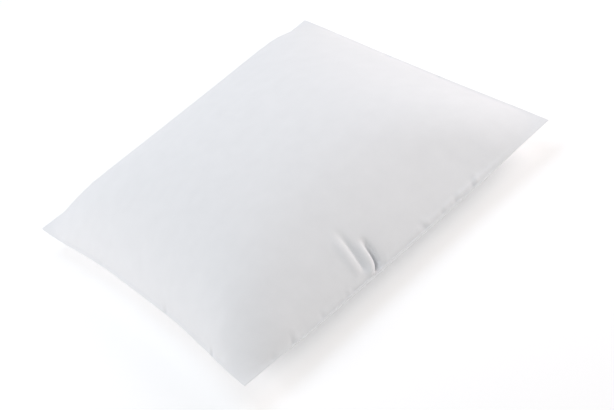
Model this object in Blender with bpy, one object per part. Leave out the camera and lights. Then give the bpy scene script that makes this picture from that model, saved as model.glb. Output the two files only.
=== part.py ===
"""Bed pillow: a sewn cotton cover with a zip along one side, an inner case, and a fibre fill.

Metres, +Z up. The pillow lies flat on its lower face: X runs along the zipped side, Y across it,
and the zip is in the seam on the +Y side. The origin is under the middle of the pillow at the floor.
"""

import math

import bmesh
import bpy

MM = 0.001

# --- filled pillow -----------------------------------------------------------------------------
SPAN_X = 0.582  # corner to corner along X, from a cover cut 0.60 m wide
SPAN_Y = 0.609  # corner to corner along Y, from a cover cut 0.63 m long
THICKNESS = 0.150  # floor to crown
SEAM_HEIGHT = 0.042  # edge seam above the floor
LOWER_DEPTH = 0.085  # how far the lower face would belly below the seam if no floor held it up
CROWN_POWER = 2.85  # the higher, the flatter the crown and the steeper the sides
CROWN_CORNER = 3.0  # the higher, the fuller the corners
WAIST_X = 8 * MM  # the two X sides are drawn in by this at their middle
WAIST_Y = 6 * MM  # the same for the two Y sides
STRAIGHT_X = 0.10  # share of each X side that runs straight before it sweeps out to the corners
CELLS = 20  # panel grid, along each direction

# --- fabrics -----------------------------------------------------------------------------------
GAP = 0.3 * MM  # between two pieces that touch
COVER_WALL = 0.8 * MM
CASE_WALL = 0.6 * MM
CASE_EASE = 1.0 * MM  # between cover and inner case
CASE_ZIP_ROOM = 10.3 * MM  # between the zip and the inner case's seam
FILL_EASE = 0.6 * MM  # between inner case and fill
FILL_INSET = 2.0 * MM  # between the inner case's seam and the fill

# --- zip: half widths are measured from its middle line, depths from the tape's plane ------------
TAPE_LENGTH = 0.360
TAPE_THICK = 0.6 * MM
TAPE_EASE = 0.5 * MM  # between the tapes' outer edges and the cover
TAPE_SET_BACK = 0.2 * MM  # the coils' noses stand past the tapes' woven edges by this
COIL_WIDTH = 2.0 * MM
COIL_THICK = 2.0 * MM
RUN = 0.4 * MM  # running clearance, slider to coils and tape
WEB_ROOM = 0.3 * MM  # between the slider's wedge and the coils' noses
LIP_ROOM = 0.6 * MM  # between the coils' outer sides and the slider's lips
STOP_LENGTH = 2.4 * MM
STOP_INSET = 5.0 * MM  # from the tape's end to the outer face of the stops
STOP_NECK = 0.6 * MM  # the top stops reach past the tape's woven edge by this
SLIDER_LENGTH = 10.0 * MM
SLIDER_PLATE = 1.0 * MM
SLIDER_LIP = 1.0 * MM  # the lips that turn in over the coils' outer sides
SLIDER_WEB = 0.8 * MM  # half thickness of the wedge between the coils
SLIT_EASE = 0.5 * MM  # between the slider and the cover's two edges
SLIT_TAPER = 14 * MM  # the slit closes over this length past each end of the tape
SLIT_END = 10 * MM  # straight seam past each end of the slit
SLIT_REACH = 45 * MM  # the cover's wall is pushed out this far in from the seam
BAIL_LENGTH = 6.0 * MM
BAIL_WALL = 0.8 * MM
BAIL_HALF_WIDTH = 0.6 * MM
BAIL_SINK = 0.3 * MM  # the bail's top lies this far inside the seam line
PIN_ROOM = 0.6 * MM  # between the pull's pin and the bail
EYE_ROOM = 0.6 * MM  # between the bail and the pull's eye
PULL_LENGTH = 22.0 * MM
PULL_THICK = 1.0 * MM
PULL_ARM = 1.1 * MM  # width of the two arms beside the bail

# --- care label --------------------------------------------------------------------------------
LABEL_WIDTH = 28 * MM
LABEL_DROP = 30 * MM
LABEL_THICK = 0.5 * MM
LABEL_Y = 0.012  # its middle, along the +X side's seam
LABEL_RISE = 1 * MM  # its upper edge over the seam

# --- what follows from the sizes above -----------------------------------------------------------
HALF_X = SPAN_X / 2
HALF_Y = SPAN_Y / 2
CREST = THICKNESS - SEAM_HEIGHT - GAP / 2 - COVER_WALL  # rise of the cover's inner skin over the seam
SEAM_Y = HALF_Y - WAIST_Y  # the zipped side's seam line, along its straight share
TAPE_HALF = TAPE_LENGTH / 2
STRAIGHT_Y = (TAPE_HALF + SLIT_TAPER + SLIT_END) / HALF_X  # straight share of the Y sides
COIL_INNER = SLIDER_WEB + WEB_ROOM
COIL_OUTER = COIL_INNER + COIL_WIDTH
TAPE_INNER = COIL_INNER + TAPE_SET_BACK
COIL_BACK = TAPE_THICK / 2 + GAP  # the coils lie on the tape's outer face
COIL_FRONT = COIL_BACK + COIL_THICK
SLIDER_HALF_WIDTH = COIL_OUTER + LIP_ROOM + SLIDER_LIP
SLIT_HALF = SLIDER_HALF_WIDTH + SLIT_EASE
PLATE_FRONT = COIL_FRONT + RUN + SLIDER_PLATE  # the slider's outer plate
PLATE_BACK = TAPE_THICK / 2 + RUN + SLIDER_PLATE  # its inner plate, on the tape's other side
BAIL_ROOM = GAP + PULL_THICK + PIN_ROOM  # height under the bail
PULL_HALF_WIDTH = BAIL_HALF_WIDTH + EYE_ROOM + PULL_ARM
PIN_DEPTH = PLATE_FRONT + GAP + PULL_THICK / 2
BAIL_TOP = PLATE_FRONT + BAIL_ROOM + BAIL_WALL
PULL_EYE = math.hypot(BAIL_LENGTH / 2, BAIL_TOP - PIN_DEPTH) + EYE_ROOM  # clears the bail as it turns
ZIP_Y = SEAM_Y - BAIL_SINK - BAIL_TOP  # the tape's plane
CASE_INSET = HALF_Y - WAIST_Y - ZIP_Y + PLATE_BACK + CASE_ZIP_ROOM
STOP_X = TAPE_HALF - STOP_INSET  # outer face of the stops at either end
SLIDER_X = STOP_X - STOP_LENGTH - GAP - SLIDER_LENGTH / 2  # slider with the zip closed


def clear_scene():
    for ob in list(bpy.data.objects):
        bpy.data.objects.remove(ob, do_unlink=True)


def material(name, colour, roughness, metallic=0.0):
    mat = bpy.data.materials.new(name)
    mat.use_nodes = True
    bsdf = mat.node_tree.nodes["Principled BSDF"]
    bsdf.inputs["Base Color"].default_value = (*colour, 1.0)
    bsdf.inputs["Roughness"].default_value = roughness
    bsdf.inputs["Metallic"].default_value = metallic
    return mat


def add_object(name, verts, faces, mat, at=(0, 0, 0), smooth=True, parent=None):
    mesh = bpy.data.meshes.new(name)
    mesh.from_pydata(verts, [], faces)
    mesh.materials.append(mat)
    ob = bpy.data.objects.new(name, mesh)
    bpy.context.scene.collection.objects.link(ob)
    ob.location = at
    ob.parent = parent
    if smooth:
        mesh.shade_smooth()
        mesh.set_sharp_from_angle(angle=math.radians(40))
    return ob


# --- the pillow's form -------------------------------------------------------------------------
def sweep(u, straight):
    """0 along the straight share of a side, rising to 1 at its corners."""
    return (max(0.0, abs(u) - straight) / (1 - straight)) ** 2


def plan(s, t):
    """Where the panel point (s, t), each -1 to 1, lies in X and Y."""
    return (
        s * (HALF_X - WAIST_X * (1 - sweep(t, STRAIGHT_X))),
        t * (HALF_Y - WAIST_Y * (1 - sweep(s, STRAIGHT_Y))),
    )


def crown(s, t):
    """1 at the middle of the panel, 0 along its seam."""
    rise = [1 - min(1.0, abs(v)) ** CROWN_POWER for v in (s, t)]
    if min(rise) <= 0.0:
        return 0.0
    return (sum(v**-CROWN_CORNER for v in rise) - 1) ** (-1 / CROWN_CORNER)


def slit(s, t):
    """How far the cover's wall stands off the seam to clear the zip."""
    along = (abs(s) * HALF_X - TAPE_HALF) / SLIT_TAPER
    inward = (1 - t) * SEAM_Y / SLIT_REACH
    ease = [min(1.0, max(0.0, v)) for v in (along, inward)]
    return SLIT_HALF * (1 - ease[0]) * (1 - ease[1] ** 2)


def layer(inset, clear, side, s, t, zipped=False):
    """A point on the pillow's form, shrunk by inset at the seam and by clear at the crown and base.

    side is +1 for the upper face and -1 for the lower."""
    shrink_s, shrink_t = 1 - inset / HALF_X, 1 - inset / HALF_Y
    x, y = plan(s * shrink_s, t * shrink_t)
    lift = GAP / 2 + (slit(s, t) if zipped else 0.0)
    if side > 0:
        return x, y, SEAM_HEIGHT + lift + (CREST - clear) * crown(s, t)
    depth = LOWER_DEPTH - clear
    return x, y, max(COVER_WALL + clear, SEAM_HEIGHT - lift - depth * crown(s, t))


def grid_lines(extra=()):
    """CELLS cells from -1 to 1, closer together towards the seams, with each extra line put in."""
    lines = [math.sin(math.pi / 2 * (2 * i / CELLS - 1) * 0.999) for i in range(CELLS + 1)]
    lines[0], lines[-1] = -1.0, 1.0
    for e in extra:
        lines = [v for v in lines if abs(v - e) > 0.03 or abs(v) == 1.0] + [e]
    return sorted(lines)


def skin(rows, columns, point):
    return [[point(s, t) for s in columns] for t in rows]


def lay(grids):
    """Vertices of several point grids, and a function from (grid, row, column) to the index."""
    verts = [p for g in grids for row in g for p in row]
    rows, cols = len(grids[0]), len(grids[0][0])
    return verts, lambda g, j, i: (g * rows + j) * cols + i


def slab(upper, lower):
    """A closed body between two point grids whose rims are apart."""
    verts, at = lay([upper, lower])
    rows, cols = len(upper), len(upper[0])
    faces = []
    for j in range(rows - 1):
        for i in range(cols - 1):
            cell = [(j, i), (j, i + 1), (j + 1, i + 1), (j + 1, i)]
            if (2 * j + 2 - rows) * (2 * i + 2 - cols) < 0:  # split each cell towards the panel's corner
                cell = cell[1:] + cell[:1]
            a, b, c, d = cell
            for three in ((a, b, c), (a, c, d)):
                faces.append(tuple(at(0, *p) for p in three))
                faces.append(tuple(at(1, *p) for p in reversed(three)))
    rim = [(0, i) for i in range(cols - 1)]
    rim += [(j, cols - 1) for j in range(rows - 1)]
    rim += [(rows - 1, i) for i in range(cols - 1, 0, -1)]
    rim += [(j, 0) for j in range(rows - 1, 0, -1)]
    for (j, i), (k, m) in zip(rim, rim[1:] + rim[:1]):
        faces.append((at(1, j, i), at(1, k, m), at(0, k, m), at(0, j, i)))
    return verts, faces


def raised(grid, by):
    return [[(x, y, z + by) for x, y, z in row] for row in grid]


def cover_panel(side, mat):
    ends = [v / HALF_X for v in (TAPE_HALF, TAPE_HALF + SLIT_TAPER)]
    columns = grid_lines([*ends, *(-v for v in ends)])
    rows = grid_lines([1 - 0.35 * SLIT_REACH / SEAM_Y])
    inner = skin(rows, columns, lambda s, t: layer(0, 0, side, s, t, zipped=True))
    outer = raised(inner, side * COVER_WALL)
    pair = (outer, inner) if side > 0 else (inner, outer)
    return add_object("cover_top" if side > 0 else "cover_bottom", *slab(*pair), mat)


def case_panel(side, mat):
    lines = grid_lines()
    clear = CASE_EASE + CASE_WALL
    inner = skin(lines, lines, lambda s, t: layer(CASE_INSET, clear, side, s, t))
    outer = raised(inner, side * CASE_WALL)
    pair = (outer, inner) if side > 0 else (inner, outer)
    return add_object("inner_case_top" if side > 0 else "inner_case_bottom", *slab(*pair), mat)


def fibre_fill(mat):
    lines = grid_lines()
    clear = CASE_EASE + CASE_WALL + FILL_EASE
    inset = CASE_INSET + FILL_INSET
    upper = skin(lines, lines, lambda s, t: layer(inset, clear, +1, s, t))
    lower = skin(lines, lines, lambda s, t: layer(inset, clear, -1, s, t))
    return add_object("fibre_fill", *slab(upper, lower), mat)


# --- small solids ------------------------------------------------------------------------------
def outward(ob):
    bm = bmesh.new()
    bm.from_mesh(ob.data)
    bmesh.ops.recalc_face_normals(bm, faces=bm.faces)
    bm.to_mesh(ob.data)
    bm.free()
    return ob


def prism(outline, axis, low, high):
    """A plane outline run from low to high along X (outline in Y, Z) or Z (outline in X, Y)."""
    n = len(outline)
    verts = [(v, a, b) if axis == "X" else (a, b, v) for v in (low, high) for a, b in outline]
    walls = [(i, (i + 1) % n, n + (i + 1) % n, n + i) for i in range(n)]
    return verts, [*walls, tuple(range(n)), tuple(range(n, 2 * n))]


def frame_plate(outer, inner, low, high):
    """A plate along Y from low to high, between two loops of as many points in (X, Z)."""
    n = len(outer)
    verts = [(x, y, z) for y in (low, high) for loop in (outer, inner) for x, z in loop]
    faces = []
    for i in range(n):
        k = (i + 1) % n
        for a, b in ((0, n), (2 * n, 3 * n), (0, 2 * n), (n, 3 * n)):
            faces.append((a + i, a + k, b + k, b + i))
    return verts, faces


def box_outline(a, b, c, d, corner=0.0):
    """A rectangle from (a, c) to (b, d), its corners cut off by corner."""
    if not corner:
        return [(a, c), (b, c), (b, d), (a, d)]
    e = corner
    return [(a + e, c), (b - e, c), (b, c + e), (b, d - e), (b - e, d), (a + e, d), (a, d - e), (a, c + e)]


def mirrored(outline):
    """The outline carried on through its mirror image across the first axis."""
    return outline + [(a, -b) for a, b in reversed(outline)]


def zip_object(name, shape, mat, parent=None, at=(0, 0, 0), smooth=False):
    return outward(add_object(name, *shape, mat, at=at, smooth=smooth, parent=parent))


def empty(name, at):
    ob = bpy.data.objects.new(name, None)
    ob.location = at
    bpy.context.scene.collection.objects.link(ob)
    return ob


def wall_height(side):
    """From the zip's middle line to the cover's inner skin, at the tape's outer corner."""
    s = TAPE_HALF / HALF_X
    t = (ZIP_Y + TAPE_THICK / 2) / SEAM_Y
    return side * (layer(0, 0, side, s, t, zipped=True)[2] - SEAM_HEIGHT)


def zip_tape(side, mat, parent):
    edge = wall_height(side) - TAPE_EASE
    low, high = sorted((side * TAPE_INNER, side * edge))
    outline = box_outline(-TAPE_THICK / 2, TAPE_THICK / 2, low, high)
    name = "zip_tape_upper" if side > 0 else "zip_tape_lower"
    return zip_object(name, prism(outline, "X", -TAPE_HALF, TAPE_HALF), mat, parent)


def zip_coil(side, mat, parent):
    low, high = sorted((side * COIL_INNER, side * COIL_OUTER))
    outline = box_outline(COIL_BACK, COIL_FRONT, low, high, corner=COIL_THICK / 4)
    end = STOP_X - STOP_LENGTH - GAP
    name = "zip_coil_upper" if side > 0 else "zip_coil_lower"
    return zip_object(name, prism(outline, "X", -end, end), mat, parent, smooth=True)


def top_stop(side, mat, parent):
    """A staple closed over the tape's woven edge, open towards the tape."""
    near, far = TAPE_INNER - GAP, COIL_OUTER
    slot, face = TAPE_THICK / 2 + GAP, COIL_FRONT
    points = [(face, near - STOP_NECK), (face, far), (slot, far), (slot, near)]
    points += [(-slot, near), (-slot, far), (-face / 2, far), (-face / 2, near - STOP_NECK)]
    outline = [(y, side * z) for y, z in points]
    name = "zip_top_stop_upper" if side > 0 else "zip_top_stop_lower"
    return zip_object(name, prism(outline, "X", STOP_X - STOP_LENGTH, STOP_X), mat, parent)


def bottom_stop(mat, parent):
    """One clip across both tapes, joined between their woven edges."""
    near, far = TAPE_INNER - GAP, COIL_OUTER
    slot, face = TAPE_THICK / 2 + GAP, COIL_FRONT
    half = [(face, far), (slot, far), (slot, near), (-slot, near), (-slot, far), (-face / 2, far)]
    outline = half + [(y, -z) for y, z in reversed(half)]
    return zip_object("zip_bottom_stop", prism(outline, "X", -STOP_X, -STOP_X + STOP_LENGTH), mat, parent)


def slider(mat, parent):
    """Two plates joined by the wedge between the coils, with a bail on the outer one."""
    back = TAPE_THICK / 2 + RUN
    plate, lip = COIL_FRONT + RUN, SLIDER_HALF_WIDTH - SLIDER_LIP
    half = [(PLATE_FRONT, SLIDER_HALF_WIDTH), (back, SLIDER_HALF_WIDTH), (back, lip), (plate, lip)]
    half += [(plate, SLIDER_WEB), (-back, SLIDER_WEB), (-back, SLIDER_HALF_WIDTH)]
    half += [(-PLATE_BACK, SLIDER_HALF_WIDTH)]
    shape = prism(mirrored(half), "X", -SLIDER_LENGTH / 2, SLIDER_LENGTH / 2)
    body = zip_object("zip_slider", shape, mat, parent)

    end, post = BAIL_LENGTH / 2, BAIL_LENGTH / 2 - BAIL_WALL
    foot, under = PLATE_FRONT - SLIDER_PLATE / 2, PLATE_FRONT + BAIL_ROOM
    arch = [(-end, foot), (-end, BAIL_TOP), (end, BAIL_TOP), (end, foot)]
    arch += [(post, foot), (post, under), (-post, under), (-post, foot)]
    bail = zip_object("slider_bail_shape", prism(arch, "Z", -BAIL_HALF_WIDTH, BAIL_HALF_WIDTH), mat, parent)
    bail.hide_render = True
    bail.display_type = "WIRE"
    join = body.modifiers.new("bail", "BOOLEAN")
    join.operation = "UNION"
    join.solver = "EXACT"
    join.object = bail
    return body


def pull(mat, parent):
    """A flat tab on its own pin, which passes under the bail. Its origin is the pin's axis."""
    pin, arm = PULL_THICK / 2, PULL_HALF_WIDTH - PULL_ARM
    outer = box_outline(-PULL_LENGTH, pin, -PULL_HALF_WIDTH, PULL_HALF_WIDTH, corner=0.7 * MM)
    inner = box_outline(-PULL_EYE, -pin, -arm, arm, corner=0.3 * MM)
    return zip_object("zip_pull", frame_plate(outer, inner, -pin, pin), mat, parent)


def care_label(mat):
    """A blank folded tape hanging from the seam of the +X side."""
    x = HALF_X - WAIST_X + GAP
    top = SEAM_HEIGHT + LABEL_RISE
    outline = box_outline(x, x + LABEL_THICK, LABEL_Y - LABEL_WIDTH / 2, LABEL_Y + LABEL_WIDTH / 2)
    return zip_object("care_label", prism(outline, "Z", top - LABEL_DROP, top), mat)


def build():
    clear_scene()
    cotton = material("cover_cotton", (0.86, 0.87, 0.89), 0.88)
    case_cloth = material("inner_case_cloth", (0.83, 0.83, 0.81), 0.92)
    fibre = material("polyester_fibre", (0.90, 0.90, 0.90), 0.95)
    tape = material("zip_tape_weave", (0.84, 0.85, 0.86), 0.85)
    nylon = material("zip_coil_nylon", (0.86, 0.87, 0.88), 0.45)
    nickel = material("zip_metal", (0.72, 0.71, 0.68), 0.30, metallic=1.0)
    satin = material("label_satin", (0.90, 0.90, 0.90), 0.55)

    for side in (1, -1):
        cover_panel(side, cotton)
        case_panel(side, case_cloth)
    fibre_fill(fibre)
    care_label(satin)

    chain = empty("zip_line", (0, ZIP_Y, SEAM_HEIGHT))
    for side in (1, -1):
        zip_tape(side, tape, chain)
        zip_coil(side, nylon, chain)
        top_stop(side, nickel, chain)
    bottom_stop(nickel, chain)
    slider_place = empty("slider_place", (SLIDER_X, ZIP_Y, SEAM_HEIGHT))
    slider(nickel, slider_place)
    pull_axis = empty("pull_axis", (SLIDER_X, ZIP_Y + PIN_DEPTH, SEAM_HEIGHT))
    pull(nickel, pull_axis)


build()
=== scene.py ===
"""A white cotton bed pillow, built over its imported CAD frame: sewn, filled and settled cover, zip, label."""

import math

import bpy
import numpy as np
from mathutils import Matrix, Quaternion, Vector


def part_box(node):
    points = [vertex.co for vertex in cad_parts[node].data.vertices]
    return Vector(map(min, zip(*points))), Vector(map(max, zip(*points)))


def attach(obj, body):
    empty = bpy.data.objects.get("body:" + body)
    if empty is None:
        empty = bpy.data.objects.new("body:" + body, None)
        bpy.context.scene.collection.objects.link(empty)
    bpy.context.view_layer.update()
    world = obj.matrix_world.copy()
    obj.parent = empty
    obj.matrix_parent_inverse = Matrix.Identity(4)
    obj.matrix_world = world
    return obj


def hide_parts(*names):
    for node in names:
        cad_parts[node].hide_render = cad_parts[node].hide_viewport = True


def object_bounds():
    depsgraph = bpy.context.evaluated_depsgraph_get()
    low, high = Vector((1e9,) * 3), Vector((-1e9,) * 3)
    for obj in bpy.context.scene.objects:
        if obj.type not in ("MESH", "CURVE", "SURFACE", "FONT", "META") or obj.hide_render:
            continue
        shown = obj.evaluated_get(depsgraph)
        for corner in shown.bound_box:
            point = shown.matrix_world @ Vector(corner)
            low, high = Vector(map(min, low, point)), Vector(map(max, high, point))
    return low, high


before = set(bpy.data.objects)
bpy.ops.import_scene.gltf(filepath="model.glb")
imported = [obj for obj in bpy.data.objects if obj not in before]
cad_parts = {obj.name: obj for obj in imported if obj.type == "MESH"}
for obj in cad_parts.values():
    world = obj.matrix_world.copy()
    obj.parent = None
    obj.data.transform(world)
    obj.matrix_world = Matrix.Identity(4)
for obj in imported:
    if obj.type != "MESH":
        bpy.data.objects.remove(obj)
cad_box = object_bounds()

MM = 0.001
CUT = np.array([0.60, 0.63])  # the flat panels, seam to seam
CLOTH = 0.45 * MM  # cotton's thickness
SIM_CELLS = 80  # cloth cells along X
SIM_STEPS = 36
OWN_SHAPE = 0.2  # how much of the simulation's uneven filling stays
FOLDS_UP, FOLDS_DOWN = 0.12, 0.35  # how much of its folds stays, in the upper and the lower panel

lo, hi = (np.array(v) for v in cad_box)
SPAN = (hi - lo)[:2]
CROWN = hi[2]
tape = [np.array(v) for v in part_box("zip_tape_upper")]
coils = [np.array(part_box(n)) for n in ("zip_coil_upper", "zip_coil_lower")]
ZIP_HALF = (tape[1] - tape[0])[0] / 2
ZIP_Y = (tape[0] + tape[1])[1] / 2
ZIP_Z = (coils[0][0][2] + coils[1][1][2]) / 2
SEAM_Y = ZIP_Y + 7.0 * MM  # the far seam, which runs straight along the zip
SLIT_HALF = 5.2 * MM  # each panel stands off the seam by this along the zip
SLIT_TAPER = 14 * MM  # the slit closes over this length at each end
TAPE_ROOM = 3.2 * MM  # more height for the upper panel, over the upper tape
SEAM_HEIGHT = 42 * MM
# Each seam: how far it bows in at its middle, its height there, and its height at the corners.
SEAMS = {
    "-x": (13 * MM, SEAM_HEIGHT, SEAM_HEIGHT),
    "+x": (2 * MM, SEAM_HEIGHT, SEAM_HEIGHT),
    "-y": (3 * MM, 35 * MM, SEAM_HEIGHT),
    "+y": (0.0, ZIP_Z, SEAM_HEIGHT),
}
SEAM_REACH_UP, SEAM_REACH_DOWN = 0.14, 0.06  # how far in from the seam the shaping fades out
# Seam, place along it in mm, lean, depth in mm, width in mm, length in mm.
CREASES = (
    ("-y", 140, 0.35, 2.4, 3.6, 30),
    ("-y", 106, 0.25, 2.0, 3.0, 22),
    ("-y", 80, 0.2, 1.7, 3.0, 18),
    ("-y", 46, -0.15, 2.3, 3.6, 26),
    ("-y", -105, 0.2, 1.2, 3.6, 20),
    ("-y", -150, 0.2, 1.6, 3.6, 22),
    ("-y", -208, 0.3, 2.2, 4.0, 26),
    ("-y", -245, 0.4, 1.8, 3.6, 20),
    ("-x", -78, 0.3, 2.0, 4.0, 24),
    ("-x", -222, 0.5, 1.8, 3.8, 22),
    ("-x", 120, -0.2, 1.2, 5.0, 26),
    ("+x", 62, 0.3, 2.2, 7.0, 46),
    ("+x", -62, -0.2, 1.8, 6.0, 36),
    ("+y", -225, 0.5, 1.2, 9.0, 60),
    ("+y", -80, 0.1, 0.9, 9.0, 60),
)
FOLD_CREASE, FOLD_SLOT = -71, -50  # the double fold's two hollows, in mm along X at the near seam
FOLD_MIDDLE, FOLD_WIDTH = -0.043, 0.03  # where the inner layers make room for the fold
CASE_INSET, FILL_INSET = 22 * MM, 25 * MM  # the inner case and the fill, in from the cover's seams
FLAT_UV = 0.66  # metres of flat cloth that one unit of its UV map spans

CAMERA_ANGLES = (-21.0, 36.4, -27.3)  # azimuth, elevation, roll
CAMERA_DISTANCE = 2.194
CAMERA_TARGET = (-0.0152, -0.0925, 0.04)
CAMERA_LENS = 87.5
FLOOR_GLOW = 0.18
SKY = (1.0, 0.985, 0.96)
SKY_STRENGTH = 0.52
LAMPS = (  # name, place, size, power, colour
    ("top_softbox", (0.3, 0.9, 2.0), (1.6, 1.6), 13.0, (0.70, 0.84, 1.0)),
    ("left_fill", (-1.7, 0.8, 1.0), (1.4, 1.2), 13.5, (1.0, 0.97, 1.0)),
    ("right_fill", (1.7, -0.6, 0.9), (1.2, 1.0), 15.0, (1.0, 0.89, 0.87)),
)


def smooth(x):
    """0 below 0, 1 above 1, and an easy curve between."""
    x = np.clip(x, 0.0, 1.0)
    return x * x * (3 - 2 * x)


# --- the sewn and filled cover -------------------------------------------------------------------
def sew_fill_and_settle(cells, steps):
    """Two flat panels sewn round their edge, filled, and let down on a floor, by cloth simulation.

    Returns the upper and the lower panel as grids of points, rows along Y and columns along X."""
    cols, rows = cells + 1, round(cells * CUT[1] / CUT[0]) + 1
    xs, ys = np.linspace(-1, 1, cols), np.linspace(-1, 1, rows)
    sx, sy = np.meshgrid(xs, ys)
    start = 0.02 * (1 - sx**2) * (1 - sy**2)
    ids = np.arange(rows * cols).reshape(rows, cols)
    inner = np.zeros((rows, cols), bool)
    inner[1:-1, 1:-1] = True
    low_ids = ids.copy()
    low_ids[inner] = rows * cols + np.arange(inner.sum())
    plane = np.stack([sx * CUT[0] / 2, sy * CUT[1] / 2], -1)
    up = np.dstack([plane, 0.05 + start])
    down = np.dstack([plane, 0.05 - start])
    verts = np.vstack([up.reshape(-1, 3), down[inner]])
    faces = []
    for grid, turn in ((ids, 1), (low_ids, -1)):
        faces += grid_quads(grid)[:, ::turn].tolist()
    mesh = bpy.data.meshes.new("sewn")
    mesh.from_pydata(verts.tolist(), [], faces)
    ob = bpy.data.objects.new("sewn", mesh)
    floor_mesh = bpy.data.meshes.new("settling_floor")
    floor_mesh.from_pydata([(-1, -1, 0), (1, -1, 0), (1, 1, 0), (-1, 1, 0)], [], [(0, 1, 2, 3)])
    floor = bpy.data.objects.new("settling_floor", floor_mesh)
    scene = bpy.context.scene
    for o in (ob, floor):
        scene.collection.objects.link(o)
    floor.modifiers.new("Collision", "COLLISION")
    floor.collision.thickness_outer = 0.003
    floor.collision.cloth_friction = 20

    cloth = ob.modifiers.new("Cloth", "CLOTH")
    s = cloth.settings
    s.quality = 6
    s.mass = 0.15
    s.effector_weights.gravity = 0.3
    s.tension_stiffness, s.compression_stiffness = 30, 1
    s.shear_stiffness, s.bending_stiffness = 1, 3
    s.air_damping = 3.0
    s.use_pressure = True
    s.uniform_pressure_force = 10.7 * (cells / 64) ** 2  # the pressure works on each point's area
    cloth.collision_settings.distance_min = 0.003
    cloth.point_cache.frame_end = steps
    scene.frame_start, scene.frame_end = 1, steps
    for f in range(1, steps + 1):
        scene.frame_set(f)
    shaped = ob.evaluated_get(bpy.context.evaluated_depsgraph_get()).to_mesh()
    points = np.empty(len(shaped.vertices) * 3)
    shaped.vertices.foreach_get("co", points)
    points = points.reshape(-1, 3)
    for o in (ob, floor):
        data = o.data
        bpy.data.objects.remove(o, do_unlink=True)
        bpy.data.meshes.remove(data)
    scene.frame_set(1)
    return points[ids], points[low_ids]


def cubic(grid, axis, where):
    """The grid at positions where, -1 to 1, along one axis, on a smooth curve through its points."""
    grid = np.moveaxis(grid, axis, 0)
    count = len(grid)
    padded = np.concatenate([2 * grid[:1] - grid[1:2], grid, 2 * grid[-1:] - grid[-2:-1]])
    u = (where + 1) / 2 * (count - 1)
    i = np.clip(u.astype(int), 0, count - 2)
    f = (u - i).reshape(-1, *([1] * (grid.ndim - 1)))
    a, b, c, d = (padded[i + k] for k in range(4))
    out = 0.5 * (2 * b + (c - a) * f + (2 * a - 5 * b + 4 * c - d) * f**2 + (3 * b - a - 3 * c + d) * f**3)
    return np.moveaxis(out, 0, axis)


def resample(grid, ss, ts):
    """The grid at columns ss and rows ts, both -1 to 1."""
    return cubic(cubic(grid, 1, ss), 0, ts)


def lines(half, step):
    """Grid lines from -half to half whose spacing at p is step(p), as shares from -1 to 1."""
    p = np.linspace(-half, half, 20001)
    count = np.concatenate([[0], np.cumsum(np.diff(p) / step((p[1:] + p[:-1]) / 2))])
    return np.interp(np.linspace(0, count[-1], math.ceil(count[-1]) + 1), count, p) / half


def normals(grid):
    """Unit normals of a point grid, +Z on a flat one."""
    du = np.gradient(grid, axis=1)
    dv = np.gradient(grid, axis=0)
    n = np.cross(du, dv)
    return n / np.maximum(np.linalg.norm(n, axis=2, keepdims=True), 1e-12)


# --- the cover's shape ---------------------------------------------------------------------------
def fit_to_frame(upper, lower):
    """Moves and scales the simulated cover so that its corners, crown and base are the CAD's."""
    corners = upper[[0, 0, -1, -1], [0, -1, 0, -1]]
    spans = np.array([np.ptp(corners[:, 0]), np.ptp(corners[:, 1])])
    low = min(upper[..., 2].min(), lower[..., 2].min())
    high = upper[..., 2].max()
    scale = np.array([*(SPAN / spans), (CROWN - 0.5 * MM) / (high - low)])
    origin = np.array([*corners[:, :2].mean(0), low])
    return (upper - origin) * scale, (lower - origin) * scale


def side_distance(ss, ts):
    """Flat distances in metres from each side, as grids: -X, +X, -Y, +Y."""
    s, t = np.meshgrid(ss, ts)
    hx, hy = CUT / 2
    return (1 + s) * hx, (1 - s) * hx, (1 + t) * hy, (1 - t) * hy


def even_out(grid, keep):
    """Shares the fill evenly between the four quarters, all but a share of each one's own shape."""
    wide, deep = np.array([-1, 1, 1]), np.array([1, -1, 1])
    both = grid + grid[:, ::-1] * wide
    even = (both + both[::-1] * deep) / 4
    return even + (grid - even) * keep


def low_pass(u, values, order=8):
    """The broad run of values along u, leaving out small waves."""
    return np.polynomial.Polynomial.fit(u, values, order)(u)


def seat_seams(upper, lower):
    """Lays the broad run of each seam where it belongs; the small waves of the simulation stay.

    Each seam bows in from the line between its corners by its waist and stands at its height. The far one
    runs straight behind the zip."""
    rows, cols = upper.shape[:2]
    hx, hy = SPAN / 2
    s, t = np.meshgrid(np.linspace(-1, 1, cols), np.linspace(-1, 1, rows))
    inward = side_distance(s[0], t[:, 0])
    total, weight = 0.0, 0.0
    for side, dist in zip(SEAMS, inward):
        axis, sign = "xy".index(side[1]), -1 if side[0] == "-" else 1
        half, across = (hy, hx) if axis == 0 else (hx, hy)
        edge = -1 if sign > 0 else 0
        rim = upper[:, edge] if axis == 0 else upper[edge]
        u = rim[:, 1 - axis] / half
        waist, height, corner = SEAMS[side]
        bow = smooth((1 - np.abs(u)) / 0.72)
        want = [across - waist * bow, corner + (height - corner) * bow]
        if side == "+y":
            behind = 1 - smooth((np.abs(rim[:, 0]) - ZIP_HALF - SLIT_TAPER) / (hx - ZIP_HALF - SLIT_TAPER))
            want[0] = hy + (SEAM_Y - hy) * behind
        shift = np.zeros((len(rim), 3))
        keep = 0.3 if side != "+y" else 0.3 * (1 - behind)  # of the simulation's small waves
        for k, aim in ((axis, sign * want[0]), (2, want[1])):
            shift[:, k] = aim - rim[:, k] + keep * (rim[:, k] - low_pass(u, rim[:, k]))
        shift = shift[:, None] if axis == 0 else shift[None, :]
        w = ((dist + 1 * MM) ** -2)[..., None]
        total, weight = total + w * shift, weight + w
    shift = total / weight
    near = sum((d + 1 * MM) ** -4 for d in inward) ** -0.25
    fade = [(1 - smooth(near / reach))[..., None] for reach in (SEAM_REACH_UP, SEAM_REACH_DOWN)]
    return upper + shift * fade[0], lower + shift * fade[1]


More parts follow.
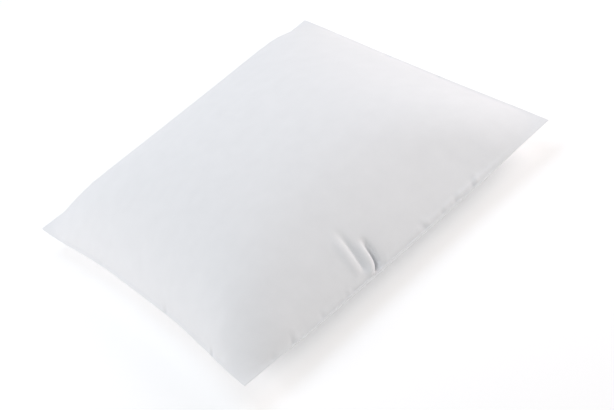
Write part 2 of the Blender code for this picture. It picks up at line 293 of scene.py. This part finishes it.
def slim_edges(upper, lower):
    """Loose fill packs less tightly near the seams than the simulation's even pressure does."""
    rows, cols = upper.shape[:2]
    s, t = np.meshgrid(np.linspace(-1, 1, cols), np.linspace(-1, 1, rows))
    flare = smooth((s + 0.2) / 1.0) * smooth((0.4 - t) / 1.2)  # the corner at +X, -Y lies flattest
    rise = np.maximum(upper[..., 2] - SEAM_HEIGHT, 0)
    full = rise.max()
    upper[..., 2] += full * (rise / full) ** (1.2 + 0.35 * flare) - rise
    drop = np.clip(lower[..., 2] / SEAM_HEIGHT, 0, 1)
    lower[..., 2] = np.where(lower[..., 2] < SEAM_HEIGHT, SEAM_HEIGHT * drop**0.55, lower[..., 2])
    return upper, lower


def iron(grid, keep):
    """Flattens the folds that run in from the seams to a share of their height."""
    rows, cols = grid.shape[:2]

    def drag(g, times):
        """Blur along the first axis, with both ends held."""
        for _ in range(times):
            g = np.concatenate([g[:1], g[1:-1] * 0.5 + (g[:-2] + g[2:]) * 0.25, g[-1:]])
        return g

    times = round(40 * (cols / 81) ** 2)
    by_x = drag(grid, times)
    by_y = np.swapaxes(drag(np.swapaxes(grid, 0, 1), times), 0, 1)
    s, t = np.meshgrid(np.linspace(-1, 1, cols), np.linspace(-1, 1, rows))
    dx, dy = (1 - np.abs(s)) ** 2 + 1e-6, (1 - np.abs(t)) ** 2 + 1e-6
    share = (dy / (dx + dy))[..., None]
    broad = by_x * share + by_y * (1 - share)
    return broad + (grid - broad) * keep


def slit_lift(ss, ts, room):
    """How far a panel stands off the seam along the zip, with some room further in for the tape's height."""
    _, _, _, inward = side_distance(ss, ts)
    x = np.abs(ss)[None, :] * SPAN[0] / 2
    along = 1 - smooth((x - ZIP_HALF - 1 * MM) / SLIT_TAPER)
    out = smooth(inward / (7 * MM)) * (1 - smooth((inward - 10 * MM) / 0.07))
    return SLIT_HALF * along * (1 - smooth(inward / 0.05)) + room * along * out


def bell(x, width):
    """1 at 0, falling off smoothly over width on both sides."""
    return np.exp(-((x / width) ** 2))


def seam_lip(inward):
    """Cross-section of the sewn edge: the cloth turns over a rounded lip and in to the stitches."""
    u = np.clip(inward / (1.2 * MM), 0, 1)
    return 0.4 * MM * np.sqrt(1 - (1 - u) ** 2)


def puckers(ss, ts, seed):
    """The stitching gathers the cloth a little: short creases that run in from each seam."""
    rng = np.random.default_rng(seed)
    out = np.zeros((len(ts), len(ss)))
    sides = side_distance(ss, ts)
    for side, inward in enumerate(sides):
        along = (ts[:, None] * CUT[1] / 2 if side < 2 else ss[None, :] * CUT[0] / 2) + 0 * inward
        for _ in range(22):
            at = rng.uniform(-0.28, 0.28)
            wide, long = rng.uniform(3, 6) * MM, rng.uniform(6, 18) * MM
            lean = rng.uniform(-0.4, 0.4)
            depth = rng.uniform(0.15, 0.5) * MM
            across = along - at - lean * inward
            hollow = bell(across, wide) - 0.6 * bell(across - 1.7 * wide, wide)
            out -= depth * hollow * np.exp(-inward / long) * smooth(inward / (2 * MM))
    return out


def creases(ss, ts):
    """The few deeper creases of the upper panel, each running in from its seam."""
    sides = dict(zip(("-x", "+x", "-y", "+y"), side_distance(ss, ts)))
    out = np.zeros((len(ts), len(ss)))
    for side, at, lean, depth, wide, long in CREASES:
        inward = sides[side]
        along = (ts[:, None] * CUT[1] / 2 if side[1] == "x" else ss[None, :] * CUT[0] / 2) + 0 * inward
        across = (along - (at + lean * inward / MM) * MM) / MM
        hollow = bell(across, wide) - 0.55 * bell(across - 1.5 * wide, 1.1 * wide)
        fade = (1 - smooth(inward / MM / long)) * smooth(inward / (3 * MM))
        out -= depth * MM * hollow * fade
    return out


def pinch(ss, ts):
    """The double fold pinched up from the near seam: a long soft crease, then a deep slot under a lip.

    Returns how far the cloth stands out and how far it leans over, towards +X."""
    inward = side_distance(ss, ts)[2] / MM
    x = ss[None, :] * CUT[0] / 2 / MM + 0 * inward
    out, lean = np.zeros_like(x), np.zeros_like(x)

    q = x - (FOLD_CREASE + 0.17 * inward)  # across the long crease
    along = smooth((inward - 10) / 20) * (1 - smooth((inward - 44) / 36))
    out += along * (2.6 * bell(q + 3, 6) - 4.4 * bell(q - 7, 6))
    lean += along * 2.9 * bell(q - 1, 4.4)

    q = x - (FOLD_SLOT + 0.24 * inward - 8 * np.exp(-inward / 7))  # across the slot
    along = smooth(inward / 8) * (1 - smooth((inward - 24) / 30))
    out += along * (4.0 * bell(q + 4, 5) - 13.5 * bell(q - 5, 5.0) - 1.0 * bell(q - 14, 8))
    lean += along * 3.8 * bell(q + 0.5, 4.6)
    return out * MM, lean * MM


def grid_quads(ids):
    """The faces between the points of a grid of point numbers."""
    return np.stack([ids[:-1, :-1], ids[:-1, 1:], ids[1:, 1:], ids[1:, :-1]], -1).reshape(-1, 4)


def shell(face, back):
    """Points and faces of a closed shell between two grids of points, facing out at the first one."""
    rows, cols = face.shape[:2]
    ids = np.arange(rows * cols).reshape(rows, cols)
    quads = grid_quads(ids)
    rim = np.concatenate([ids[0, :-1], ids[:-1, -1], ids[-1, :0:-1], ids[:0:-1, 0]])
    after = np.roll(rim, -1)
    under = rows * cols
    walls = np.stack([rim + under, after + under, after, rim], -1)
    points = np.vstack([face.reshape(-1, 3), back.reshape(-1, 3)])
    return points, np.vstack([quads, quads[:, ::-1] + under, walls])


def panel_piece(name, grid, ss, ts, up, mat, wall=CLOTH):
    """A sewn panel as a thin closed shell with flat-cloth UVs.

    The shell lies under its outer face where up is 1, and over it where up is -1."""
    points, faces = shell(grid, grid - normals(grid) * wall * up)
    mesh = bpy.data.meshes.new(name)
    mesh.from_pydata(points.tolist(), [], faces[:, ::up].tolist())
    uv = mesh.uv_layers.new(name="cloth")
    s, t = np.meshgrid(ss * CUT[0] / 2, ts * CUT[1] / 2)
    flat = np.tile(np.stack([s, t], -1).reshape(-1, 2), (2, 1)) / FLAT_UV + 0.5
    loops = np.empty(len(mesh.loops), int)
    mesh.loops.foreach_get("vertex_index", loops)
    uv.data.foreach_set("uv", flat[loops].ravel())
    return finish_piece(name, mesh, mat, 75)


def finish_piece(name, mesh, mat, sharp_degrees=None):
    """The mesh shaded smooth, as an object that rides on the pillow."""
    mesh.materials.append(mat)
    mesh.shade_smooth()
    if sharp_degrees:
        mesh.set_sharp_from_angle(angle=math.radians(sharp_degrees))
    ob = bpy.data.objects.new(name, mesh)
    bpy.context.scene.collection.objects.link(ob)
    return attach(ob, "pillow")


# --- materials -----------------------------------------------------------------------------------
class Shader:
    """A material's node tree, built with short calls."""

    def __init__(self, name, colour, roughness, **constants):
        self.mat = bpy.data.materials.new(name)
        self.mat.use_nodes = True
        self.tree = self.mat.node_tree
        self.bsdf = self.tree.nodes["Principled BSDF"]
        self.bsdf.inputs["Base Color"].default_value = (*colour, 1)
        self.bsdf.inputs["Roughness"].default_value = roughness
        for key, value in constants.items():
            self.bsdf.inputs[key.replace("_", " ")].default_value = value

    def node(self, kind, settings=(), **inputs):
        n = self.tree.nodes.new("ShaderNode" + kind)
        for key, value in dict(settings).items():
            setattr(n, key, value)
        for key, value in inputs.items():
            socket = n.inputs[int(key[1:])] if key[1:].isdigit() else n.inputs[key.replace("_", " ")]
            if isinstance(value, bpy.types.NodeSocket):
                self.tree.links.new(value, socket)
            else:
                socket.default_value = value
        return n

    def coords(self, uv=None, scale=(1, 1, 1)):
        if uv:
            source = self.node("UVMap", {"uv_map": uv}).outputs["UV"]
        else:
            source = self.node("TexCoord").outputs["Object"]
        return self.node("Mapping", Vector=source, Scale=scale).outputs["Vector"]

    def noise(self, vector, scale, detail=3.0, roughness=0.5):
        kwargs = dict(Vector=vector, Scale=scale, Detail=detail, Roughness=roughness)
        return self.node("TexNoise", **kwargs).outputs["Fac"]

    def wave(self, vector, scale, direction):
        settings = {"wave_type": "BANDS", "bands_direction": direction}
        kwargs = dict(Vector=vector, Scale=scale, Distortion=0.0, Detail=1.0)
        return self.node("TexWave", settings, **kwargs).outputs["Fac"]

    def math(self, operation, a, b=0.0):
        return self.node("Math", {"operation": operation}, _0=a, _1=b).outputs[0]

    def remap(self, value, low, high, a=0.0, b=1.0):
        names = ("Value", "From_Min", "From_Max", "To_Min", "To_Max")
        return self.node("MapRange", **dict(zip(names, (value, a, b, low, high)))).outputs[0]

    def tint(self, value, dark, light):
        ramp = self.node("ValToRGB", Fac=value)
        ramp.color_ramp.elements[0].color = (*dark, 1)
        ramp.color_ramp.elements[1].color = (*light, 1)
        self.tree.links.new(ramp.outputs["Color"], self.bsdf.inputs["Base Color"])

    def rough(self, value):
        self.tree.links.new(value, self.bsdf.inputs["Roughness"])

    def bumps(self, *layers):
        """layers are (height, distance in metres), coarse to fine."""
        last = None
        for height, distance in layers:
            kwargs = dict(Height=height, Distance=distance, Strength=1.0)
            if last is not None:
                kwargs["Normal"] = last
            last = self.node("Bump", **kwargs).outputs["Normal"]
        self.tree.links.new(last, self.bsdf.inputs["Normal"])


def woven(name, dark, light, pitch, uv=None, span=1.0, sheen=0.25, roughness=0.85, relief=0.05 * MM):
    """Plain weave: over-and-under threads with slubs, soft mottling and faint handling creases.

    Coordinates are metres once multiplied by span."""
    s = Shader(name, light, roughness, Sheen_Weight=sheen, Sheen_Roughness=0.45)
    s.bsdf.inputs["Specular IOR Level"].default_value = 0.25
    at = s.coords(uv=uv, scale=(span,) * 3)
    per = 2 * math.pi / (20 * pitch)
    warp, weft = s.wave(at, per, "X"), s.wave(at, per, "Y")
    half = 0.5 * per
    over_x, over_y = s.wave(at, half, "X"), s.wave(at, half, "Y")
    check = s.math("MULTIPLY", s.math("SUBTRACT", over_x, 0.5), s.math("SUBTRACT", over_y, 0.5))
    threads = s.math("ADD", s.math("MULTIPLY", warp, weft), s.math("MULTIPLY", check, 2.0))
    slub_x = s.noise(s.node("Mapping", Vector=at, Scale=(900, 45, 45)).outputs[0], 1.0, 2.0)
    slub_y = s.noise(s.node("Mapping", Vector=at, Scale=(45, 900, 45)).outputs[0], 1.0, 2.0)
    slubs = s.math("ADD", slub_x, slub_y)
    mottle = s.noise(at, 38.0, 4.0, 0.55)
    crease = s.noise(at, 14.0, 3.0, 0.5)
    shade = s.math("ADD", s.math("MULTIPLY", mottle, 0.7), s.math("MULTIPLY", slubs, 0.15))
    s.tint(s.remap(shade, 0, 1, 0.3, 0.7), dark, light)
    s.rough(s.remap(mottle, roughness - 0.04, roughness + 0.06, 0.3, 0.7))
    s.bumps((crease, 0.22 * MM), (mottle, 0.04 * MM), (slubs, 0.03 * MM), (threads, relief))
    return s.mat


def fibrous(name, dark, light):
    """Carded fibre: fine strands running every way, in soft clumps."""
    s = Shader(name, light, 0.95, Sheen_Weight=0.4, Sheen_Roughness=0.6)
    at = s.coords()
    strands = s.noise(s.node("Mapping", Vector=at, Scale=(1, 1, 6)).outputs[0], 260.0, 8.0, 0.75)
    clumps = s.noise(at, 22.0, 3.0)
    s.tint(s.math("ADD", s.math("MULTIPLY", strands, 0.6), s.math("MULTIPLY", clumps, 0.4)), dark, light)
    s.rough(s.remap(strands, 0.9, 1.0))
    s.bumps((clumps, 4 * MM), (strands, 0.8 * MM))
    return s.mat


def moulded(name, colour, roughness):
    """Nylon monofilament: slightly clouded, with a fine drawn grain."""
    s = Shader(name, colour, roughness, Coat_Weight=0.15, Coat_Roughness=0.3)
    at = s.coords()
    cloud = s.noise(at, 350.0, 3.0)
    grain = s.noise(s.node("Mapping", Vector=at, Scale=(200, 2600, 2600)).outputs[0], 1.0, 2.0)
    s.tint(cloud, [c * 0.94 for c in colour], colour)
    s.rough(s.remap(grain, roughness - 0.08, roughness + 0.12, 0.3, 0.7))
    s.bumps((grain, 0.02 * MM))
    return s.mat


def cast_metal(name, dark, light):
    """Plated zinc casting: tumbled edges, faint pitting and rubbed high spots."""
    s = Shader(name, light, 0.3, Metallic=1.0)
    at = s.coords()
    cloud = s.noise(at, 420.0, 4.0)
    rubbed = s.noise(s.node("Mapping", Vector=at, Scale=(300, 2400, 2400)).outputs[0], 1.0, 3.0)
    pits = s.noise(at, 2600.0, 2.0)
    s.tint(s.remap(cloud, 0, 1, 0.3, 0.7), dark, light)
    s.rough(s.remap(rubbed, 0.2, 0.42, 0.3, 0.7))
    s.bumps((cloud, 0.03 * MM), (pits, 0.015 * MM), (rubbed, 0.01 * MM))
    return s.mat


# --- zip, stitching and label --------------------------------------------------------------------
def tube(path, across, radius_a, radius_b, sides, verts, faces):
    """Adds a closed tube along path to verts and faces. across is a vector that isn't along the path."""
    path = np.asarray(path, float)
    run = np.gradient(path, axis=0)
    run /= np.linalg.norm(run, axis=1, keepdims=True)
    a = np.cross(run, across)
    a /= np.linalg.norm(a, axis=1, keepdims=True)
    b = np.cross(run, a)
    base = len(verts)
    for p, u, v in zip(path, a, b):
        for k in range(sides):
            angle = 2 * math.pi * k / sides
            verts.append(tuple(p + u * radius_a * math.cos(angle) + v * radius_b * math.sin(angle)))
    for i in range(len(path) - 1):
        for k in range(sides):
            m = (k + 1) % sides
            row = base + i * sides
            faces.append((row + k, row + m, row + sides + m, row + sides + k))
    faces.append(tuple(base + k for k in reversed(range(sides))))
    faces.append(tuple(base + (len(path) - 1) * sides + k for k in range(sides)))


def mesh_piece(name, verts, faces, mat, sharp_degrees=50):
    """A piece from lists of points and faces."""
    mesh = bpy.data.meshes.new(name)
    mesh.from_pydata(verts, [], faces)
    return finish_piece(name, mesh, mat, sharp_degrees)


def coil(side, mat):
    """One half of the chain: a monofilament wound into loops whose noses reach the middle line."""
    node = "zip_coil_upper" if side > 0 else "zip_coil_lower"
    low, high = (np.array(v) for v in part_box(node))
    pitch = 1.5 * MM
    turns = int((high[0] - low[0]) / pitch)
    mid_y, half_y = (low[1] + high[1]) / 2, (high[1] - low[1]) / 2 - 0.25 * MM
    outer = (abs(high[2] - ZIP_Z) if side > 0 else abs(low[2] - ZIP_Z)) - 0.3 * MM
    nose = -0.25 * MM
    steps = 12
    k = np.arange(turns * steps + 1)
    turn = 2 * math.pi * k / steps
    reach = (1 - np.cos(turn)) / 2
    x = low[0] + 0.4 * MM + pitch * (k / steps + (0.5 if side < 0 else 0.0)) * 0.995
    y = mid_y + half_y * np.sin(turn) * (1 - 0.35 * (1 - reach))
    z = ZIP_Z + side * (outer + (nose - outer) * (1 - reach))
    verts, faces = [], []
    tube(np.stack([x, y, z], -1), (1, 0, 0.2), 0.3 * MM, 0.3 * MM, 6, verts, faces)
    piece = mesh_piece(node + "_wire", verts, faces, mat)
    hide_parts(node)
    return piece


def stitches(name, rows, mat, long=2.4 * MM, gap=0.8 * MM, thick=0.22 * MM):
    """Rows of topstitching, each (points, normals); every stitch is a low lozenge of thread."""
    verts, faces = [], []
    for points, outward in rows:
        length = np.concatenate([[0], np.cumsum(np.linalg.norm(np.diff(points, axis=0), axis=1))])
        count = int(length[-1] / (long + gap))
        for i in range(count):
            d = i * (long + gap) + np.array([0, 0.15, 0.5, 0.85, 1.0]) * long
            at = np.stack([np.interp(d, length, points[:, c]) for c in range(3)], -1)
            up = np.stack([np.interp(d, length, outward[:, c]) for c in range(3)], -1)
            rise = np.array([-0.15, 0.16, 0.24, 0.16, -0.15])[:, None] * MM
            tube(at + up * rise, up.mean(0), thick, thick * 0.8, 6, verts, faces)
    return mesh_piece(name, verts, faces, mat)


def label(panels, mat):
    """A folded satin tape, sewn in at the seam of the +X side, that hangs and curls a little."""
    low, high = (np.array(v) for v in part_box("care_label"))
    edge = panels[1][0][:, -1]
    seam = edge[np.argmin(np.abs(edge[:, 1] - (low[1] + high[1]) / 2))]
    wide, drop = high[1] - low[1], high[2] - low[2]
    u, v = np.meshgrid(np.linspace(-1, 1, 25), np.linspace(0, 1, 33))
    sheets = []
    for face in (0.0, 1.0):
        y = (low[1] + high[1]) / 2 + u * wide / 2
        z = seam[2] - v * drop
        curl = 2.4 * MM * v**2 + 0.5 * MM * np.sin(3.0 * u + 1.0) * v + 0.4 * MM * np.sin(7 * v + u)
        x = seam[0] - 0.8 * MM + curl + face * (0.5 * MM * np.sin(math.pi * np.clip(v, 0, 1)) + 0.35 * MM)
        sheets.append(np.stack([x, y, z], -1))
    points, faces = shell(*sheets)
    piece = mesh_piece("care_label_tape", points.tolist(), faces.tolist(), mat, 60)
    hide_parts("care_label")


# --- putting it together -------------------------------------------------------------------------
def cover(upper, lower, mat):
    """The two cover panels, with their sewn edges, puckers and the opening for the zip."""
    half_x, half_y = CUT / 2

    def spacing(half, coarse, fine=None):
        """Grid step at p: fine by the seams, and around fine = (centre, half width, step)."""

        def step(p):
            edge = half - np.abs(p)
            out = np.interp(edge, [0, 1 * MM, 4 * MM, 30 * MM], [0.35 * MM, 0.7 * MM, 2.2 * MM, coarse])
            if fine:
                centre, wide, small = fine
                out = np.minimum(out, np.interp(np.abs(p - centre), [wide, 2.5 * wide], [small, coarse]))
            return out

        return step

    pieces = {}
    for name, grid, up in (("pillow_cover_upper", upper, 1), ("pillow_cover_lower", lower, -1)):
        coarse = 4.2 * MM if up > 0 else 5.5 * MM
        fold_x = (-0.053, 0.024, 1.3 * MM) if up > 0 else None
        fold_y = (0.035 - half_y, 0.045, 2.4 * MM) if up > 0 else None
        ss = lines(half_x, spacing(half_x, coarse, fold_x))
        ts = lines(half_y, spacing(half_y, coarse, fold_y))
        g = resample(grid, ss, ts)
        n = normals(g)
        inward = np.minimum.reduce(side_distance(ss, ts))
        fade = 1 - smooth(inward / (25 * MM))
        lip = seam_lip(inward) * fade + 0.05 * MM
        rise = up * puckers(ss, ts, 7 + up)
        if up > 0:
            out, lean = pinch(ss, ts)
            rise += creases(ss, ts) + out
            along = np.gradient(g, axis=1)
            g = g + along / np.linalg.norm(along, axis=2, keepdims=True) * lean[..., None]
        g = g + n * rise[..., None]
        g[..., 2] += up * (lip + slit_lift(ss, ts, TAPE_ROOM if up > 0 else 0.0))
        g[..., 2] = np.maximum(g[..., 2], 0.0)
        ob = panel_piece(name, g, ss, ts, up, mat)
        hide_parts("cover_top" if up > 0 else "cover_bottom")
        pieces[up] = (g, ss, ts)
    return pieces


def inside_layer(upper, lower, inset, share, count, bumps=0.0):
    """Upper and lower faces of a layer nested in the cover, with its seam inset, at a share of the thickness.

    It makes room for the fold in the cover, and bumps is how lumpy it is."""
    ss = np.sin(np.linspace(-1, 1, count) * math.pi / 2)
    s, t = np.meshgrid(ss, ss)
    k = 1 - inset / (CUT.min() / 2)
    a, b = resample(upper, ss * k, ss * k), resample(lower, ss * k, ss * k)
    inward = side_distance(ss * k, ss * k)[2]
    fold = bell(s * k * CUT[0] / 2 - FOLD_MIDDLE, FOLD_WIDTH)
    mid = (a + b) / 2
    room = (10 * MM * fold * (1 - smooth((inward - 0.022) / 0.035)))[..., None]
    a, b, mid = (g - room * (0, 0, 1) for g in (a, b, mid))
    edge = np.sqrt(1 - np.maximum(np.abs(s), np.abs(t)) ** 6)[..., None] * share
    under_fold = 0.45 * fold * (1 - smooth((inward - 0.05) / 0.04))
    wave = np.sin(s * 17 + 2 * np.sin(t * 9)) * np.sin(t * 15 + 2 * np.sin(s * 7))
    a = mid + (a - mid) * edge * (1 - bumps * (1 + wave[..., None])) * (1 - under_fold[..., None])
    b = mid + (b - mid) * edge * (1 - bumps * (1 - wave[..., None]))
    return a, b, ss


def inner_case(upper, lower, mat):
    """The two panels of the inner case that holds the fill."""
    a, b, ss = inside_layer(upper, lower, CASE_INSET, 0.96, 71)
    for name, grid, up in (("inner_case_upper_panel", a, 1), ("inner_case_lower_panel", b, -1)):
        grid = grid.copy()
        grid[..., 2] += up * 0.15 * MM
        ob = panel_piece(name, grid, ss, ss, up, mat, wall=0.3 * MM)
        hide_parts("inner_case_top" if up > 0 else "inner_case_bottom")


def filling(upper, lower, mat):
    """The fibre fill as one soft, slightly lumpy body."""
    a, b, _ = inside_layer(upper, lower, FILL_INSET, 0.93, 61, bumps=0.012)
    edge_gap = 0.4 * MM  # keeps the two faces apart along the rim
    b[[0, -1], :, 2] -= edge_gap
    b[1:-1, [0, -1], 2] -= edge_gap
    points, faces = shell(a, b)
    ob = mesh_piece("fibre_filling", points.tolist(), faces.tolist(), mat, None)
    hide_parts("fibre_fill")


def topstitching(panels, mat):
    """Two rows beside the zip, one on each panel, 4 mm in from the opening's edges."""
    rows = []
    for up, (g, _, ts) in panels.items():
        inward = (1 - ts) * CUT[1] / 2
        j = int(np.argmin(np.abs(inward - 4 * MM)))
        use = np.abs(g[j, :, 0]) < ZIP_HALF + SLIT_TAPER + 3 * MM
        rows.append((g[j, use], (normals(g) * up)[j, use]))
    ob = stitches("zip_topstitching", rows, mat)


def stage():
    """A plain pale floor and soft studio light."""
    mesh = bpy.data.meshes.new("studio_floor")
    mesh.from_pydata([(-30, -30, 0), (30, -30, 0), (30, 30, 0), (-30, 30, 0)], [], [(0, 1, 2, 3)])
    floor = bpy.data.objects.new("studio_floor", mesh)
    bpy.context.scene.collection.objects.link(floor)
    s = Shader("studio_paper", (0.93, 0.93, 0.93), 0.9, Emission_Strength=FLOOR_GLOW)
    s.bsdf.inputs["Emission Color"].default_value = (1, 1, 1, 1)
    mesh.materials.append(s.mat)

    world = bpy.data.worlds.new("studio")
    bpy.context.scene.world = world
    world.use_nodes = True
    background = world.node_tree.nodes["Background"]
    background.inputs["Color"].default_value = (*SKY, 1)
    background.inputs["Strength"].default_value = SKY_STRENGTH
    for name, at, size, power, colour in LAMPS:
        data = bpy.data.lights.new(name, "AREA")
        data.shape = "RECTANGLE"
        data.size, data.size_y = size
        data.energy = power
        data.color = colour
        lamp = bpy.data.objects.new(name, data)
        lamp.location = at
        lamp.rotation_euler = (Vector((0, 0, 0.05)) - Vector(at)).to_track_quat("-Z", "Y").to_euler()
        bpy.context.scene.collection.objects.link(lamp)
    bpy.context.scene.view_settings.view_transform = "Standard"


def camera():
    """The viewing angle, from CAMERA_TARGET back along the line of sight."""
    azimuth, elevation, roll = (math.radians(v) for v in CAMERA_ANGLES)
    level = math.cos(elevation)
    back = Vector((math.sin(azimuth) * level, -math.cos(azimuth) * level, math.sin(elevation)))
    data = bpy.data.cameras.new("camera")
    data.sensor_width = 36
    data.lens = CAMERA_LENS
    ob = bpy.data.objects.new("camera", data)
    ob.location = Vector(CAMERA_TARGET) + back * CAMERA_DISTANCE
    ob.rotation_mode = "QUATERNION"
    ob.rotation_quaternion = (-back).to_track_quat("-Z", "Y") @ Quaternion((0, 0, 1), roll)
    bpy.context.scene.collection.objects.link(ob)
    bpy.context.scene.camera = ob


flat_cloth = dict(uv="cloth", span=FLAT_UV)
cotton = woven("cotton_percale", (0.835, 0.845, 0.86), (0.865, 0.875, 0.89), 0.7 * MM, **flat_cloth)
case_cloth = woven("case_muslin", (0.74, 0.74, 0.71), (0.83, 0.83, 0.80), 1.1 * MM, **flat_cloth)
fibre = fibrous("polyester_wadding", (0.78, 0.78, 0.78), (0.92, 0.92, 0.92))
tape_weave = woven("zip_tape_twill", (0.76, 0.77, 0.78), (0.84, 0.85, 0.86), 0.6 * MM, relief=0.08 * MM)
nylon = moulded("zip_monofilament", (0.86, 0.87, 0.88), 0.42)
metal = cast_metal("plated_zinc", (0.55, 0.54, 0.52), (0.78, 0.77, 0.74))
thread = woven("sewing_thread", (0.80, 0.82, 0.84), (0.90, 0.91, 0.92), 0.5 * MM, sheen=0.4, roughness=0.7)
satin = woven("label_satin_weave", (0.82,) * 3, (0.90,) * 3, 0.35 * MM, sheen=0.5, roughness=0.5)

top, bottom = sew_fill_and_settle(SIM_CELLS, SIM_STEPS)
top, bottom = fit_to_frame(top, bottom)
top, bottom = seat_seams(even_out(top, OWN_SHAPE), even_out(bottom, OWN_SHAPE))
top, bottom = iron(top, FOLDS_UP), iron(bottom, FOLDS_DOWN)
top, bottom = slim_edges(top, bottom)
panels = cover(top, bottom, cotton)
filling(top, bottom, fibre)
inner_case(top, bottom, case_cloth)
topstitching(panels, thread)
for side in (1, -1):
    coil(side, nylon)
label(panels, satin)
cad_materials = {
    "zip_tape_upper": tape_weave,
    "zip_tape_lower": tape_weave,
    "zip_slider": metal,
    "zip_pull": metal,
    "zip_top_stop_upper": metal,
    "zip_top_stop_lower": metal,
    "zip_bottom_stop": metal,
}
for name, mat in cad_materials.items():
    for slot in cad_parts[name].material_slots:
        slot.material = mat

stage()
camera()
